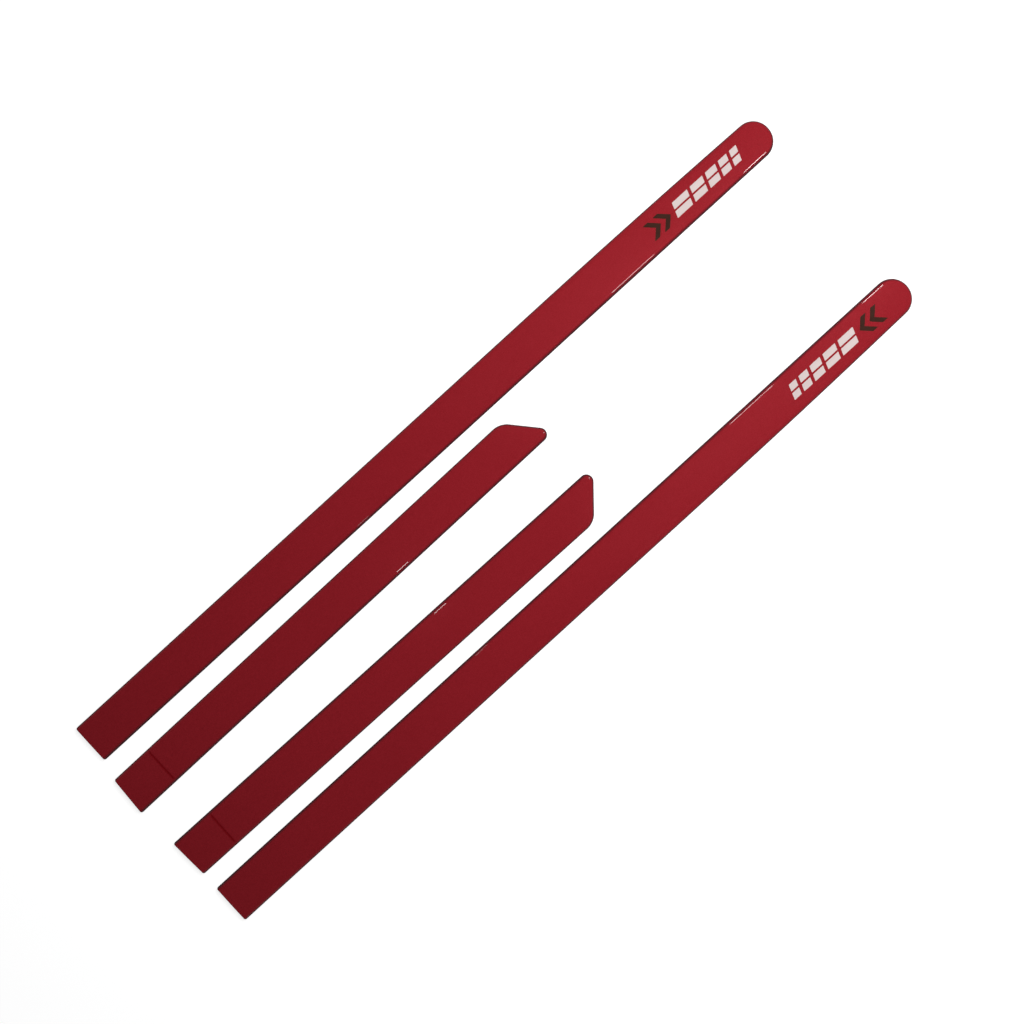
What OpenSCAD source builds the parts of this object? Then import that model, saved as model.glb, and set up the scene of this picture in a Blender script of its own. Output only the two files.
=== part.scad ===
// Set of four stick-on door side mouldings, laid out face up: two front-door strips with a round nose and
// two rear-door strips with a slanted end. Millimetres. +X runs from the square ends towards the noses, +Y
// towards the right-hand front strip and +Z up. The liners of the foam tapes rest on Z = 0.
// Each strip is drawn in its own frame: X from its square end, +Y towards its outer edge, Z as above. The
// left-hand strips are the right-hand ones mirrored in Y.

/* [Strips] */
// Length of a front-door strip
front_len = 960; // [700:10:1200]
// Length of a rear-door strip
rear_len = 583; // [400:1:800]
// Width of every strip
strip_w = 45; // [36:0.5:60]
// Radius of the small corners at a square end
corner_r = 2; // [1:0.5:4]

/* [Section] */
// Height of a cover, from its rim to its ridge
cover_h = 6.4; // [5.4:0.1:10]
// Radius of the long shoulders
shoulder_r = 4; // [2:0.5:4.5]
// Rise of the crown from the shoulders to the ridge
crown_rise = 0.6; // [0.2:0.1:0.9]
// Bevel along the foot of the side walls
foot_bevel = 0.3; // [0.1:0.1:0.6]
// Width of the rounded edge of a square end
end_edge = 0.8; // [0.4:0.1:2]
// Thickness of the side and end walls
wall = 2.4; // [1.6:0.1:3]
// Thickness of the roof at the ridge
roof = 2.4; // [1.8:0.1:3]

/* [Nose of a front-door strip] */
// How far the outer edge has drawn in where the nose begins
nose_drop = 3; // [1:0.5:6]
// Length over which the outer edge draws in
taper_len = 280; // [120:10:400]
// Half length of the flat left at the very tip
tip_flat = 0.5; // [0.3:0.1:3]

/* [Slanted end of a rear-door strip] */
// Angle between the slanted edge and the strip's length
slant = 49; // [40:1:70]
// Radius of the sharp corner, on the inner edge
sharp_r = 7.5; // [3:0.5:10]
// Radius of the blunt corner, on the outer edge
blunt_r = 22; // [8:1:26]
// Lean of the square end out of square
end_lean = 3.3; // [0:0.1:6]
// Distance of the cross seam from the square end
seam_x = 50; // [40:1:80]

/* [Back] */
// Width of a foam tape
tape_w = 10; // [6:0.5:12]
// Thickness of a foam tape
tape_t = 1.1; // [0.8:0.1:2]
// How far a foam tape stands proud of the rim
tape_proud = 0.4; // [0.2:0.1:0.7]
// Bare end of each tape land, from the square end to the tape
tape_inset = 14; // [12:1:30]
// Side margin of a moulded land around its tape
land_margin = 0.5; // [0.2:0.1:1]
// Gap between a land and the side wall, where a front strip is at its narrowest
land_gap = 0.6; // [0.3:0.1:2]
// Thickness of a liner
liner_t = 0.2; // [0.1:0.05:0.4]
// Length of a long liner's pull tab
tab_len = 10; // [5:1:10]
// Thickness of a cross rib
rib_t = 1.6; // [1:0.1:2.5]
// Distance between cross ribs
rib_pitch = 60; // [30:5:100]
// How far the ribs stay back from the face of the lands
rib_setback = 0.6; // [0.2:0.1:1.5]
// Width of the tape across the nose, along the strip
nose_tape_w = 10; // [6:0.5:12]
// Distance from the tip to the tape across the nose
nose_tape_inset = 12; // [10:0.5:16]
// Length of the nose liner's pull tab
nose_tab_len = 6; // [3:0.5:7]
// Gap between the nose tape and the long tapes
nose_tape_gap = 8; // [4:1:15]
// Gap between a rear strip's tapes and the slanted wall
slant_gap = 4; // [2:0.5:10]
// Gap between the splice plate and the first cross rib
splice_rib_gap = 4; // [2:1:20]
// Length of the splice plate behind the seam
splice_len = 60; // [40:2:64]
// Thickness of the splice plate
splice_t = 2; // [1:0.1:2.4]
// Clearance on each side of the splice plate between the lands
splice_gap = 0.5; // [0.2:0.1:1]

/* [Decals] */
// Thickness of a decal
decal_t = 0.12; // [0.08:0.01:0.3]
// Distance from the tip to the end of the decals that is nearest to it
decal_inset = 38; // [30:1:60]
// Length of the dark part
dark_len = 31; // [20:1:40]
// Height of the dark part
dark_h = 20; // [12:0.5:24]
// Distance between the front points of the two dark chevrons
chevron_pitch = 14; // [10:0.5:18]
// Length of the light part
light_len = 96; // [60:1:120]
// Height of the light part
light_h = 16; // [8:0.5:20]
// Gap between the dark part and the light part
part_gap = 3; // [1:0.5:10]
// Number of light bars
bar_count = 5; // [3:1:8]
// Gap between two light bars
bar_gap = 4; // [2:0.5:8]
// Each light bar's width as a share of the one before it
bar_ratio = 0.82; // [0.6:0.02:0.98]
// Lean of the light bars
bar_lean = 20; // [0:1:35]
// Height of the slit along the light bars
slit_h = 2; // [1:0.5:4]

/* [Layout] */
// Middle of the right front strip to the middle of the right rear strip
right_pitch = 65; // [60:1:120]
// Middle of the right rear strip to the middle of the left rear strip
middle_pitch = 95; // [80:1:160]
// Middle of the left rear strip to the middle of the left front strip
left_pitch = 63; // [60:1:120]
// Set-back of the right front strip's square end
front_right_back = 9; // [0:1:60]
// Set-back of the right rear strip's square end
rear_right_back = 0; // [0:1:60]
// Set-back of the left rear strip's square end
rear_left_back = 3; // [0:1:60]
// Set-back of the left front strip's square end
front_left_back = 5; // [0:1:60]
// Angle by which each rear strip lies turned outwards
rear_splay = 0.4; // [0:0.1:1]

/* [Hidden] */

// Heights, from the table up
land_z = liner_t + tape_t;
rim_z = land_z - tape_t + tape_proud;
ridge_z = rim_z + cover_h;
shoulder_z = ridge_z - crown_rise - shoulder_r;
ceiling_z = ridge_z - roof;
rib_z = land_z + rib_setback;

half_w = strip_w / 2;
// Length of the facets on a rounded corner, and the smallest radius that is still rounded
facet = 3;
least_r = 0.5;
// Thickness of one slice of a cover's stack, and overshoot of a cut
slice = 0.01;
past = 20;

red = "#8f1a26";
black = "#26262a";
film = "#b8353a";
dark = "#3a1d14";
light = "#e4dcda";

// Outlines: [corners anticlockwise, corner radii]. The last edge, back to the first corner, is the square end
nose_r = half_w - nose_drop / 2 - tip_flat;
taper_steps = 3;
taper_slope = 2 * nose_drop / taper_len;
taper_x = front_len - nose_r - taper_len;
function taper_point(s) = [taper_x + taper_len * s, half_w - nose_drop * s * s];
front_shape = [
    [[0, -half_w], [front_len, -half_w], [front_len, half_w - nose_drop - taper_slope * nose_r],
     for (i = [taper_steps:-1:0]) taper_point(i / taper_steps), [0, half_w]],
    [corner_r, nose_r, nose_r, for (i = [0:taper_steps]) 0, corner_r]
];

sharp_x = rear_len + sharp_r * (1 / tan(slant / 2) - 1);
function slant_x(y) = sharp_x - (y + half_w) / tan(slant);
rear_shape = [
    [[0, -half_w], [sharp_x, -half_w], [slant_x(half_w), half_w], [strip_w * tan(end_lean), half_w]],
    [corner_r, sharp_r, blunt_r, corner_r]
];

function along(p, q) = (q - p) / norm(q - p);
function inward(e) = [-e[1], e[0]];

// Corner q once its first edge has moved inwards by a and its second by b
function moved(p, q, r, a, b) =
    let (e = along(p, q), m = inward(e), n = inward(along(q, r)))
    q + m * a + e * (b - a * (m * n)) / (e * n);

// Corner q, whose full radius is given, rounded by an arc of that radius less the inset
function rounded(p, q, r, full, inset) =
    let (
        radius = full - inset,
        e = along(p, q),
        m = inward(e),
        turn = acos(e * along(q, r)),
        centre = q - e * radius * tan(turn / 2) + m * radius,
        start = atan2(-m[1], -m[0]),
        steps = ceil(full * turn * PI / 180 / facet)
    )
    radius < least_r ? [q] : [
        for (i = [0:steps])
            let (a = start + turn * i / steps)
            centre + radius * [cos(a), sin(a)]
    ];

// Outline of a shape moved inwards by an inset, and by an inset of its own at the square end
function outline(shape, inset, end_inset) =
    let (
        corners = shape[0],
        n = len(corners),
        d = [for (i = [0:n - 1]) i == n - 1 ? end_inset : inset],
        c = [for (i = [0:n - 1]) moved(corners[(i + n - 1) % n], corners[i], corners[(i + 1) % n],
                                       d[(i + n - 1) % n], d[i])]
    )
    [for (i = [0:n - 1]) each rounded(c[(i + n - 1) % n], c[i], c[(i + 1) % n], shape[1][i], inset)];

// [inset, lowest height, highest height] of the slices that a cover is stretched over: foot, side wall,
// shoulder and crown
shoulder_turn = 22.5;
crown_steps = 3;
wall_z = rim_z + foot_bevel;
function thin(inset, z) = [inset, z - slice, z];
profile = [
    [foot_bevel, rim_z, rim_z + slice],
    [0, wall_z, shoulder_z],
    for (a = [shoulder_turn:shoulder_turn:90])
        thin(shoulder_r * (1 - cos(a)), shoulder_z + shoulder_r * sin(a)),
    for (i = [1:crown_steps])
        let (in = (nose_r - shoulder_r) * i / crown_steps, t = in / (half_w - shoulder_r))
        thin(shoulder_r + in, shoulder_z + shoulder_r + crown_rise * (1 - pow(1 - t, 2)))
];

// The solid cover of a shape, between two places along the strip
module outer_form(shape, low, high) {
    hull() for (p = profile) translate([0, 0, p[1]]) linear_extrude(p[2] - p[1])
        intersection() {
            polygon(outline(shape, p[0], end_edge * min(p[0] / shoulder_r, 1)));
            translate([low, -strip_w]) square([high - low, 2 * strip_w]);
        }
}

// Distance of each long tape's middle from the strip's middle
tape_offset = half_w - nose_drop - wall - land_gap - land_margin - tape_w / 2;

// A moulded land along the strip, wall to wall
module long_land(length, side) {
    translate([-past, side * tape_offset - tape_w / 2 - land_margin, land_z])
        cube([length + 2 * past, tape_w + 2 * land_margin, ridge_z]);
}

module ribs(first, last) {
    for (x = [first:rib_pitch:last]) translate([x - rib_t / 2, -strip_w, rib_z]) cube([rib_t, 2 * strip_w, ridge_z]);
}

// The hollow in the back, less the lands and ribs given as children
module back_hollow(shape) {
    difference() {
        translate([0, 0, rim_z - past]) linear_extrude(ceiling_z - rim_z + past) polygon(outline(shape, wall, wall));
        children();
    }
}

// Front-door strip
nose_tape_x = front_len - nose_tape_inset - nose_tape_w;
nose_tape_y = -nose_drop / 2;
nose_tape_len = 2 * tape_offset;
front_tape_end = nose_tape_x - nose_tape_gap;

module front_form() { outer_form(front_shape, -past, front_len + past); }

module nose_land() {
    translate([nose_tape_x - land_margin, nose_tape_y - nose_tape_len / 2 - land_margin, land_z])
        cube([nose_tape_w + 2 * land_margin, nose_tape_len + 2 * land_margin, ridge_z]);
}

module front_cover() {
    color(red) difference() {
        front_form();
        back_hollow(front_shape) {
            long_land(front_len, 1);
            long_land(front_len, -1);
            nose_land();
            ribs(rib_pitch / 2, front_tape_end);
        }
    }
}

// A skin lying on the cover over the outline given as a child
module decal_on_cover() {
    difference() {
        intersection() {
            translate([0, 0, shoulder_z]) linear_extrude(cover_h) children();
            translate([0, 0, decal_t]) front_form();
        }
        front_form();
    }
}

// The graphic runs along +X from 0: two dark chevrons, then light leaning bars that narrow and share a slit
chevron_stroke = dark_len - chevron_pitch - dark_h / 2 * tan(45);
module chevron(x) {
    h = dark_h / 2;
    translate([x, 0]) polygon([[0, h], [chevron_stroke, h], [chevron_stroke + h, 0], [chevron_stroke, -h],
                               [0, -h], [h, 0]]);
}

module dark_graphic() {
    chevron(0);
    chevron(chevron_pitch);
}

bar_rise = light_h * tan(bar_lean);
bar_sum = (1 - pow(bar_ratio, bar_count)) / (1 - bar_ratio);
bar_w = (light_len - bar_rise - bar_gap * (bar_count - 1)) / bar_sum;
function bar_x(i) = bar_gap * i + bar_w * (1 - pow(bar_ratio, i)) / (1 - bar_ratio);
module light_graphic() {
    difference() {
        for (i = [0:bar_count - 1]) translate([dark_len + part_gap + bar_x(i), -light_h / 2])
            polygon([[0, 0], [bar_w * pow(bar_ratio, i), 0], [bar_w * pow(bar_ratio, i) + bar_rise, light_h],
                     [bar_rise, light_h]]);
        translate([dark_len, -slit_h / 2]) square([light_len + past, slit_h]);
    }
}

// On a right-hand strip the graphic runs towards the nose, and on a left-hand one away from it
graphic_len = dark_len + part_gap + light_len;
module towards_nose() { translate([front_len - decal_inset - graphic_len, 0]) children(); }
module from_nose() { translate([front_len - decal_inset, 0]) mirror([1, 0]) children(); }

module long_tape(side, end) {
    color(black) translate([tape_inset, side * tape_offset - tape_w / 2, liner_t])
        cube([end - tape_inset, tape_w, tape_t]);
}

module long_liner(side, end) {
    color(film) translate([tape_inset - tab_len, side * tape_offset - tape_w / 2, 0])
        cube([end - tape_inset + tab_len, tape_w, liner_t]);
}

module nose_tape() {
    color(black) translate([nose_tape_x, nose_tape_y - nose_tape_len / 2, liner_t])
        cube([nose_tape_w, nose_tape_len, tape_t]);
}

module nose_liner() {
    color(film) translate([nose_tape_x, nose_tape_y - nose_tape_len / 2, 0])
        cube([nose_tape_w + nose_tab_len, nose_tape_len, liner_t]);
}

// Rear-door strip: its tapes end square, a gap short of the slanted wall
function rear_tape_end(side) = slant_x(side * tape_offset + tape_w / 2) - (wall + slant_gap) / sin(slant);

module rear_section(low, high) {
    color(red) difference() {
        outer_form(rear_shape, low, high);
        back_hollow(rear_shape) {
            long_land(rear_len, 1);
            long_land(rear_len, -1);
            ribs(seam_x + splice_len / 2 + splice_rib_gap, rear_tape_end(1));
        }
    }
}
module main_section() { rear_section(seam_x, rear_len + past); }
module end_section() { rear_section(-past, seam_x); }

module splice_plate() {
    plate_w = 2 * (tape_offset - tape_w / 2 - land_margin - splice_gap);
    color(black) translate([seam_x - splice_len / 2, -plate_w / 2, ceiling_z - splice_t])
        cube([splice_len, plate_w, splice_t]);
}

// Places in the layout, whose box is centred on the origin
low_x = min(front_right_back, rear_right_back, rear_left_back, front_left_back);
high_x = max(max(front_right_back, front_left_back) + front_len, max(rear_right_back, rear_left_back) + rear_len);
mid_x = (low_x + high_x) / 2;
high_y = (right_pitch + middle_pitch + left_pitch) / 2;

module laid(back, y, length, turn) {
    translate([back + length / 2 - mid_x, y, 0]) rotate(turn) translate([-length / 2, 0, 0]) children();
}
module front_right() { laid(front_right_back, high_y, front_len, 0) children(); }
module rear_right() { laid(rear_right_back, high_y - right_pitch, rear_len, rear_splay) children(); }
module rear_left() { laid(rear_left_back, left_pitch - high_y, rear_len, -rear_splay) mirror([0, 1, 0]) children(); }
module front_left() { laid(front_left_back, -high_y, front_len, 0) mirror([0, 1, 0]) children(); }

front_right() front_cover();  // front_right_cover
front_right() color(dark) decal_on_cover() towards_nose() dark_graphic();  // front_right_decal_dark
front_right() color(light) decal_on_cover() towards_nose() light_graphic();  // front_right_decal_light
front_right() long_tape(1, front_tape_end);  // front_right_tape_outer
front_right() long_tape(-1, front_tape_end);  // front_right_tape_inner
front_right() nose_tape();  // front_right_tape_nose
front_right() long_liner(1, front_tape_end);  // front_right_liner_outer
front_right() long_liner(-1, front_tape_end);  // front_right_liner_inner
front_right() nose_liner();  // front_right_liner_nose

front_left() front_cover();  // front_left_cover
front_left() color(dark) decal_on_cover() from_nose() dark_graphic();  // front_left_decal_dark
front_left() color(light) decal_on_cover() from_nose() light_graphic();  // front_left_decal_light
front_left() long_tape(1, front_tape_end);  // front_left_tape_outer
front_left() long_tape(-1, front_tape_end);  // front_left_tape_inner
front_left() nose_tape();  // front_left_tape_nose
front_left() long_liner(1, front_tape_end);  // front_left_liner_outer
front_left() long_liner(-1, front_tape_end);  // front_left_liner_inner
front_left() nose_liner();  // front_left_liner_nose

rear_right() main_section();  // rear_right_main_section
rear_right() end_section();  // rear_right_end_section
rear_right() splice_plate();  // rear_right_splice_plate
rear_right() long_tape(1, rear_tape_end(1));  // rear_right_tape_outer
rear_right() long_tape(-1, rear_tape_end(-1));  // rear_right_tape_inner
rear_right() long_liner(1, rear_tape_end(1));  // rear_right_liner_outer
rear_right() long_liner(-1, rear_tape_end(-1));  // rear_right_liner_inner

rear_left() main_section();  // rear_left_main_section
rear_left() end_section();  // rear_left_end_section
rear_left() splice_plate();  // rear_left_splice_plate
rear_left() long_tape(1, rear_tape_end(1));  // rear_left_tape_outer
rear_left() long_tape(-1, rear_tape_end(-1));  // rear_left_tape_inner
rear_left() long_liner(1, rear_tape_end(1));  // rear_left_liner_outer
rear_left() long_liner(-1, rear_tape_end(-1));  // rear_left_liner_inner
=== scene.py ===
"""A set of four stick-on door side mouldings, lying face up: two front-door strips with a round nose and
two rear-door strips with a slanted end. Metres in the scene; sizes below are in millimetres, and MM turns
them. Each strip is drawn in its own place: x from its square end, +y towards its outer edge, z up from the
table."""

import bmesh
import bpy
import numpy as np
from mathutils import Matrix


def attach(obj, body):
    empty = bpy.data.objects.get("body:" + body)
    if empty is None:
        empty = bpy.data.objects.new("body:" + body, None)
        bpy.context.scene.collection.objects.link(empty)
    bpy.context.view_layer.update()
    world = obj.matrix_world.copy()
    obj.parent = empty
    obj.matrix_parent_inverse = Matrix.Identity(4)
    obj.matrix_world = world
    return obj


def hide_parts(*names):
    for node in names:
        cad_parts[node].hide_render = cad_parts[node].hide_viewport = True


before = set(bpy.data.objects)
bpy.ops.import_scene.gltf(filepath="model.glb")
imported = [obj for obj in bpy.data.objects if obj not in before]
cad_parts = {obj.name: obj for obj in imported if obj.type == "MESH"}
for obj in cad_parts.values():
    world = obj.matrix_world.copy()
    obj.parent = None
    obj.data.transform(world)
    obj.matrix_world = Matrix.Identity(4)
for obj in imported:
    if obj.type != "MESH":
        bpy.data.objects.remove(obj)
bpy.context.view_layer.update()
MM = 0.001

# Strips
FRONT_LEN, REAR_LEN, WIDTH = 960.0, 583.0, 45.0
HALF = WIDTH / 2
CORNER_R, LEAST_R = 2.0, 0.5
# Section: heights from the table up
LINER_T, TAPE_T, TAPE_PROUD = 0.2, 1.1, 0.4
COVER_H, ROOF, WALL = 6.4, 2.4, 2.4
SHOULDER_R, CROWN_RISE, FOOT_BEVEL, END_EDGE = 4.0, 0.6, 0.3, 0.8
LAND_Z = LINER_T + TAPE_T
RIM_Z = LINER_T + TAPE_PROUD
RIDGE_Z = RIM_Z + COVER_H
SHOULDER_Z = RIDGE_Z - CROWN_RISE - SHOULDER_R
CEILING_Z = RIDGE_Z - ROOF
# Front nose and taper
NOSE_DROP, TAPER_LEN, TIP_FLAT = 3.0, 280.0, 0.5
NOSE_R = HALF - NOSE_DROP / 2 - TIP_FLAT
NOSE_X = FRONT_LEN - NOSE_R
TAPER_X = NOSE_X - TAPER_LEN
TAPER_SLOPE = 2 * NOSE_DROP / TAPER_LEN
# Rear slanted end, leaning square end and cross seam
SLANT, SHARP_R, BLUNT_R, END_LEAN, SEAM_X = 49.0, 7.5, 22.0, 3.3, 50.0
SHARP_X = REAR_LEN + SHARP_R * (1 / np.tan(np.radians(SLANT / 2)) - 1)
# Back: long tapes and their lands, the tape across the nose, ribs and splice plate
TAPE_W, LAND_MARGIN, LAND_GAP, TAPE_INSET, TAB_LEN, SLANT_GAP = 10.0, 0.5, 0.6, 14.0, 10.0, 4.0
TAPE_Y = HALF - NOSE_DROP - WALL - LAND_GAP - LAND_MARGIN - TAPE_W / 2
LAND_IN, LAND_OUT = TAPE_Y - TAPE_W / 2 - LAND_MARGIN, TAPE_Y + TAPE_W / 2 + LAND_MARGIN
NOSE_TAPE_W, NOSE_TAPE_INSET, NOSE_TAPE_GAP, NOSE_TAB = 10.0, 12.0, 8.0, 6.0
NOSE_TAPE_X = FRONT_LEN - NOSE_TAPE_INSET - NOSE_TAPE_W
NOSE_TAPE_Y = -NOSE_DROP / 2
NOSE_LAND_X, NOSE_LAND_W = NOSE_TAPE_X - LAND_MARGIN, NOSE_TAPE_W + 2 * LAND_MARGIN
FRONT_TAPE_END = NOSE_TAPE_X - NOSE_TAPE_GAP
SPLICE_LEN, SPLICE_T, SPLICE_GAP, SPLICE_RIB_GAP = 60.0, 2.0, 0.5, 4.0
RIB_T, RIB_PITCH, RIB_SETBACK, REAR_RIBS_END = 1.6, 60.0, 0.6, 550.0
RIB_Z = LAND_Z + RIB_SETBACK
FRONT_RIBS = np.arange(RIB_PITCH / 2, FRONT_TAPE_END + 1, RIB_PITCH)
REAR_RIBS = np.arange(SEAM_X + SPLICE_LEN / 2 + SPLICE_RIB_GAP, REAR_RIBS_END, RIB_PITCH)
# How far a step in the back's height slopes out, sideways
DRAFT = 0.12

# Each strip's middle on the table, its turn in degrees, and its hand
PLACES = {
    "front_right": (4.5, 111.5, 0.0, 1),
    "rear_right": (-193.0, 46.5, 0.4, 1),
    "rear_left": (-190.0, -48.5, -0.4, -1),
    "front_left": (0.5, -111.5, 0.0, -1),
}


# ---------------------------------------------------------------- outlines
def direction(angle):
    """Unit vectors at angles in degrees."""
    a = np.radians(angle)
    return np.stack([np.cos(a), np.sin(a)], axis=-1)


def corner(first, second, radius, share):
    """Points round the corner between two edges, for a stack of rings at once. An edge is (angle of its
    outward normal, distance from the origin along that normal). The arc's centre lies one radius inside
    both edges, and a point is centre + radius * (cos a, sin a), where a turns from the first normal to the
    second by share."""
    (a, ha), (b, hb) = first, second
    normals = np.stack([direction(a), direction(b)])
    centre = np.stack([ha - radius, hb - radius], axis=-1) @ np.linalg.inv(normals).T
    arc = direction(a + (b - a) * share)
    return centre[:, None, :] + radius[:, None, None] * arc[None]


def outer_edge(x):
    """The outer edge of a front strip at x, and its outward normal: straight, then drawing in with the
    square of the way along the taper."""
    s = np.clip((x - TAPER_X) / TAPER_LEN, 0, 1)
    slope = TAPER_SLOPE * s
    normal = np.stack([slope, np.ones_like(x)], axis=-1) / np.hypot(slope, 1)[:, None]
    return np.stack([x, HALF - NOSE_DROP * s**2], axis=-1), normal


def even(low, high, step):
    """Evenly spaced places from low to high, no more than step apart, without the two ends."""
    return np.linspace(low, high, int(np.ceil((high - low) / step)) + 1)[1:-1]


def rib_lines(ribs):
    """Places of the lines across the back at each rib: its two faces, and the foot of each."""
    edge = RIB_T / 2
    return (ribs[:, None] + np.array([-edge - DRAFT, -edge, edge, edge + DRAFT])).ravel()


# Shares of the way round a small corner, and round a tip
ARC, TIP_ARC = np.linspace(0, 1, 7), np.linspace(0, 1, 29)
# Where the stations lie along a strip: past its square end, between two ribs, round the seam, and how far
# apart and how far clear of the land or the tip they are near the nose
FRONT_START, REAR_START = [4.0, 9.0, 18.0], [6.0, 11.0, 20.0, 32.0]
BETWEEN_RIBS = RIB_PITCH * np.array([0.25, 0.5, 0.75])
SEAM_STEPS = np.array([0.15, 0.4, 0.8, 1.3, 2.0, 3.0])
NEAR_SEAM = SEAM_X + np.concatenate([-SEAM_STEPS[::-1], [0], SEAM_STEPS])
NOSE_STEP, NOSE_CLEAR, TIP_CLEAR = 9.0, 2.0, 0.4


class Form:
    """The plan of one kind of strip: where its inner and outer edges run, station by station, at any
    inset."""

    def __init__(self, kind):
        self.front = kind == "front"
        if self.front:
            self.plan_front()
        else:
            self.plan_rear()

    def plan_front(self):
        """Square end, taper and round nose. The nose is two quarter rounds, with a step of the back's land
        at the two places where it crosses them."""
        self.ribs = FRONT_RIBS
        self.lean, self.tip_angle, self.tip = 0.0, 0.0, FRONT_LEN
        self.inner_r = self.outer_r = NOSE_R
        lines = rib_lines(self.ribs)
        fill = even(lines[-1], NOSE_X, NOSE_STEP)
        fill = fill[fill < NOSE_LAND_X - NOSE_CLEAR]
        between = (self.ribs[:-1, None] + BETWEEN_RIBS).ravel()
        places = [FRONT_START, lines, between, [NOSE_LAND_X - DRAFT, NOSE_LAND_X], fill]
        self.inner_x = self.outer_x = np.unique(np.concatenate(places))
        edge, normal = outer_edge(np.array([NOSE_X]))
        self.outer_angle = 90 - np.degrees(np.arctan(TAPER_SLOPE))
        self.outer_h = float(edge[0] @ normal[0])
        reach = NOSE_LAND_X + NOSE_LAND_W - NOSE_X + np.array([0, DRAFT])
        step = np.degrees(np.arcsin(reach / (NOSE_R - WALL))) / 90
        self.tip_share = np.unique(np.concatenate([TIP_ARC, step]))
        self.spine_end = NOSE_X

    def plan_rear(self):
        """Leaning square end, seam and slanted end. The stations fan out from the last rib, so that each
        edge has the same number of them up to its own corner of the slanted end."""
        self.ribs = REAR_RIBS
        self.lean, self.tip_angle = END_LEAN, 90 - SLANT
        self.tip = float(direction(self.tip_angle) @ np.array([SHARP_X, -HALF]))
        self.inner_r, self.outer_r = SHARP_R, BLUNT_R
        self.outer_angle, self.outer_h = 90.0, HALF
        between = (self.ribs[:-1, None] + BETWEEN_RIBS).ravel()
        xs = np.unique(np.concatenate([REAR_START, NEAR_SEAM, rib_lines(self.ribs), between]))
        tan_slant, tan_half = np.tan(np.radians(SLANT)), np.tan(np.radians(SLANT / 2))
        inner_end = SHARP_X - SHARP_R / tan_half
        outer_end = SHARP_X - WIDTH / tan_slant - BLUNT_R * tan_half
        fan = np.linspace(0, 1, 10)[1:]
        self.inner_x = np.append(xs, xs[-1] + (inner_end - TIP_CLEAR - xs[-1]) * fan)
        self.outer_x = np.append(xs, xs[-1] + (outer_end - TIP_CLEAR - xs[-1]) * fan)
        self.tip_share = TIP_ARC
        self.spine_end = SHARP_X - HALF / tan_slant - HALF / np.sin(np.radians(SLANT))

    def rings(self, inset, end_inset):
        """Inner and outer edge points of one ring for each inset: the small corner at the square end, the
        long edge, and the round or slanted tip. Both run from the square end to the tip."""
        inset, end_inset = np.atleast_1d(inset).astype(float), np.atleast_1d(end_inset).astype(float)
        end = (180 - self.lean, np.sin(np.radians(self.lean)) * -HALF - end_inset)
        small = np.maximum(CORNER_R - inset, LEAST_R)
        tip = (self.tip_angle, self.tip - inset)
        inner = (270.0, HALF - inset)
        first = corner(end, inner, small, ARC)
        straight = np.stack(np.broadcast_arrays(self.inner_x[None], inset[:, None] - HALF), axis=-1)
        last = corner((-90.0, HALF - inset), tip, self.inner_r - inset, self.tip_share)
        inner_line = np.concatenate([first, straight, last], axis=1)
        first = corner(end, (90.0, HALF - inset), small, ARC)
        edge, normal = outer_edge(self.outer_x)
        if not self.front:
            edge = np.stack([self.outer_x, np.full_like(self.outer_x, HALF)], axis=-1)
            normal = np.array([[0.0, 1.0]])
        straight = edge[None] - inset[:, None, None] * normal[None]
        last = corner((self.outer_angle, self.outer_h - inset), tip, self.outer_r - inset, self.tip_share)
        return inner_line, np.concatenate([first, straight, last], axis=1)


# The shoulder is a quarter round that stops where it has the crown's slope
CROWN_SLOPE = np.arctan(2 * CROWN_RISE / (HALF - SHOULDER_R))
SHOULDER_TURN = np.pi / 2 - CROWN_SLOPE
SHOULDER_IN = SHOULDER_R * (1 - np.cos(SHOULDER_TURN))
CROWN_Z = SHOULDER_Z + SHOULDER_R * np.sin(SHOULDER_TURN)
# Points across an end, steps round the shoulder, and shares of the way from the shoulder to the middle line
ACROSS, SHOULDER_STEPS = 13, 14
CROWN_SHARE = np.linspace(0, 1, 17)[1:] ** 1.35
# How near the square end the middle line starts to draw away from it, and the bevel under that end
SQUARE_REACH, END_BEVEL = 45.0, 0.1


def loop(inner, outer, across):
    """Rings joined from their two edges: along the inner edge, over the tip, back along the outer edge and
    over the square end, with evenly spaced points on the tip's and the end's straight part."""
    share = np.linspace(0, 1, across)[1:-1][None, :, None]
    tip = inner[:, -1:] + (outer[:, -1:] - inner[:, -1:]) * share
    end = outer[:, :1] + (inner[:, :1] - outer[:, :1]) * share
    return np.concatenate([inner, tip, outer[:, ::-1], end], axis=1)


def crown(form, xy, rise_share=None):
    """Height of the painted face: a parabola across the strip, from the top of the shoulders to the ridge.
    Its share is 1 on the middle line and 0 on the shoulders."""
    _, outer = form.rings(SHOULDER_IN, END_EDGE)
    along = outer[0, len(ARC):-len(form.tip_share)]
    outer_y = np.interp(xy[..., 0], along[:, 0], along[:, 1])
    inner_y = -HALF + SHOULDER_IN
    middle, reach = (outer_y + inner_y) / 2, (outer_y - inner_y) / 2
    share = 1 - np.abs(xy[..., 1] - middle) / reach if rise_share is None else rise_share
    return CROWN_Z + (RIDGE_Z - CROWN_Z) * (1 - (1 - np.clip(share, 0, 1)) ** 2)


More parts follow.
